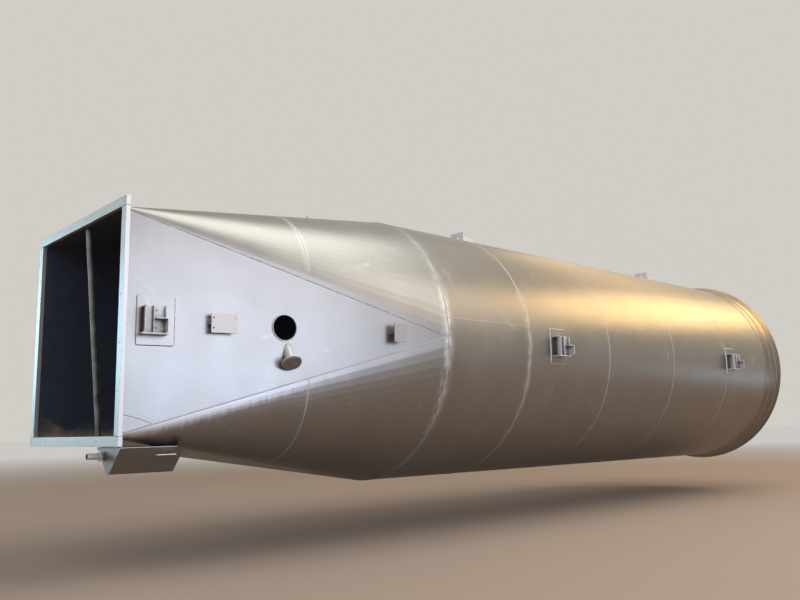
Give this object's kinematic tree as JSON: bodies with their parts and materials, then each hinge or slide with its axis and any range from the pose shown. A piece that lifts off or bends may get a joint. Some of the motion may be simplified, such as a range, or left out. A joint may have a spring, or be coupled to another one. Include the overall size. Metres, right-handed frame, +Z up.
{
  "type": "square-to-round duct section",
  "caption": "Large horizontal steel duct section: square flanged inlet, sheet-metal transition to a long round welded shell, and a flared outlet lip.",
  "frame": {"origin": "centre of the square inlet flange's front face", "axes": "+X along the duct axis towards the round outlet, +Z up, -Y the near side with the access hole and nozzle"},
  "size_m": [16.815, 4.9366, 4.7423],
  "materials": {
    "silver_paint": "satin aluminium paint",
    "bare_brown": "matt brown primer"
  },
  "bodies": {
    "root": {"inlet_flange_top": "silver_paint", "inlet_flange_bottom": "silver_paint", "inlet_flange_near": "silver_paint", "inlet_flange_far": "silver_paint", "near_side_panel": "silver_paint", "far_side_panel": "silver_paint", "top_panel": "silver_paint", "bottom_panel": "silver_paint", "front_corner_near_top": "silver_paint", "front_corner_far_top": "silver_paint", "front_corner_near_bottom": "silver_paint", "front_corner_far_bottom": "silver_paint", "rear_corner_near_top": "silver_paint", "rear_corner_far_top": "silver_paint", "rear_corner_near_bottom": "silver_paint", "rear_corner_far_bottom": "silver_paint", "shell_course_1": "silver_paint", "shell_course_2": "silver_paint", "shell_course_3": "silver_paint", "shell_course_4": "silver_paint", "shell_course_5": "silver_paint", "outlet_collar": "silver_paint", "outlet_flare": "silver_paint", "outlet_lip": "silver_paint", "bracket_pads_1": "silver_paint", "bracket_pads_2": "silver_paint", "bracket_pads_3": "silver_paint", "side_brackets_1": "silver_paint", "side_brackets_2": "silver_paint", "side_brackets_3": "silver_paint", "plate_bracket": "silver_paint", "small_bracket": "silver_paint", "access_rim": "silver_paint", "nozzle_pipe": "silver_paint", "nozzle_cover": "bare_brown", "top_nozzle": "silver_paint", "lug_pads": "silver_paint", "lifting_lugs": "silver_paint", "inlet_brace": "silver_paint", "trough": "silver_paint", "trough_top": "silver_paint", "trough_front_plate": "silver_paint", "trough_rear_plate": "silver_paint", "trough_shelf": "silver_paint", "drain_pipe": "silver_paint"}
  },
  "joints": []
}
